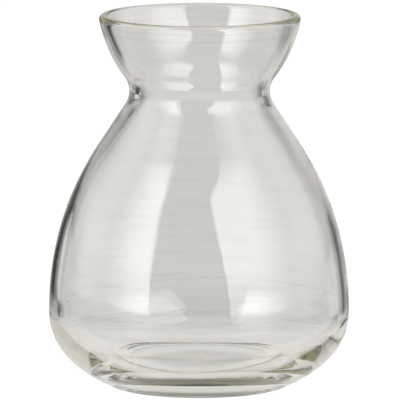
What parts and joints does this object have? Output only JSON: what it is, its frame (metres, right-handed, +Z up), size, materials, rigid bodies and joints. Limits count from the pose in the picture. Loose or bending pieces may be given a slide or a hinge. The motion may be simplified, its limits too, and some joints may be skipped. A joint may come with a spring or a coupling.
{
  "type": "hyacinth forcing vase",
  "caption": "Clear glass hyacinth forcing vase with a flared bulb cup, a narrow throat and a wide rounded water belly on a thick foot.",
  "frame": {"origin": "centre of the bearing ring, on the surface that the vase stands on", "axes": "+Z up along the axis of the vase; the glass is a body of revolution, so X and Y are any two level directions"},
  "size_m": [0.101, 0.101, 0.125],
  "materials": {
    "clear_glass": "polished"
  },
  "bodies": {
    "root": {"glass_vessel": "clear_glass"}
  },
  "joints": []
}
